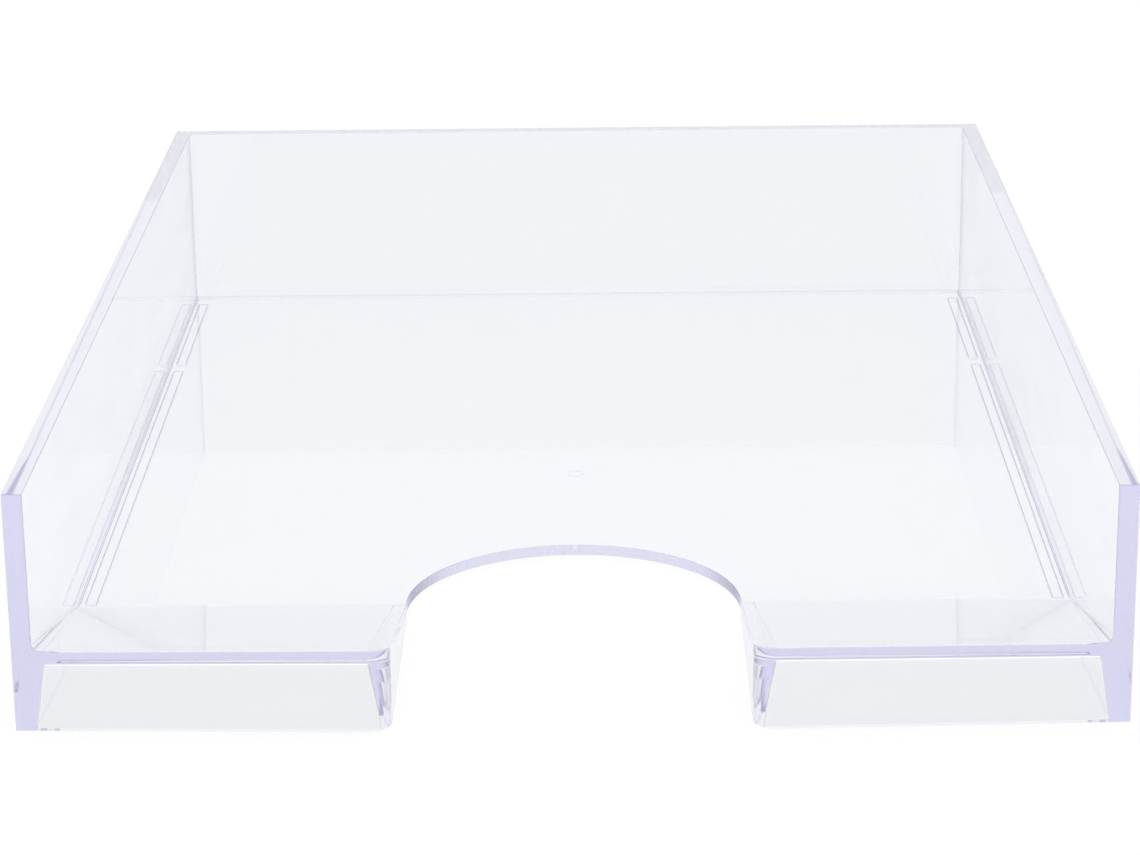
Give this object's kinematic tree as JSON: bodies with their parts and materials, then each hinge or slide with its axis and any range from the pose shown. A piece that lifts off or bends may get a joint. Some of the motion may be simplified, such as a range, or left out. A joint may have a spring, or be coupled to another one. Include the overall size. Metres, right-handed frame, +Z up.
{
  "type": "letter tray",
  "caption": "Clear open letter tray with upright walls, a sloped low front and a round thumb notch, for sheets laid flat on a desk.",
  "frame": {"origin": "on the table, in the middle of the tray's footprint", "axes": "+X to the right seen from the open front, +Y from the notched front to the back wall, +Z up"},
  "size_m": [0.254, 0.3508, 0.057],
  "materials": {
    "clear_plastic": "polished clear polystyrene, colourless with a faint blue cast in its edges"
  },
  "bodies": {
    "root": {"floor_panel": "clear_plastic", "back_wall": "clear_plastic", "left_side_wall": "clear_plastic", "right_side_wall": "clear_plastic", "left_front_ramp": "clear_plastic", "right_front_ramp": "clear_plastic", "left_ramp_ledge": "clear_plastic", "right_ramp_ledge": "clear_plastic", "left_front_panel": "clear_plastic", "right_front_panel": "clear_plastic", "left_notch_cheek": "clear_plastic", "right_notch_cheek": "clear_plastic", "left_front_rail": "clear_plastic", "right_front_rail": "clear_plastic", "left_rear_rail": "clear_plastic", "right_rear_rail": "clear_plastic"}
  },
  "joints": []
}
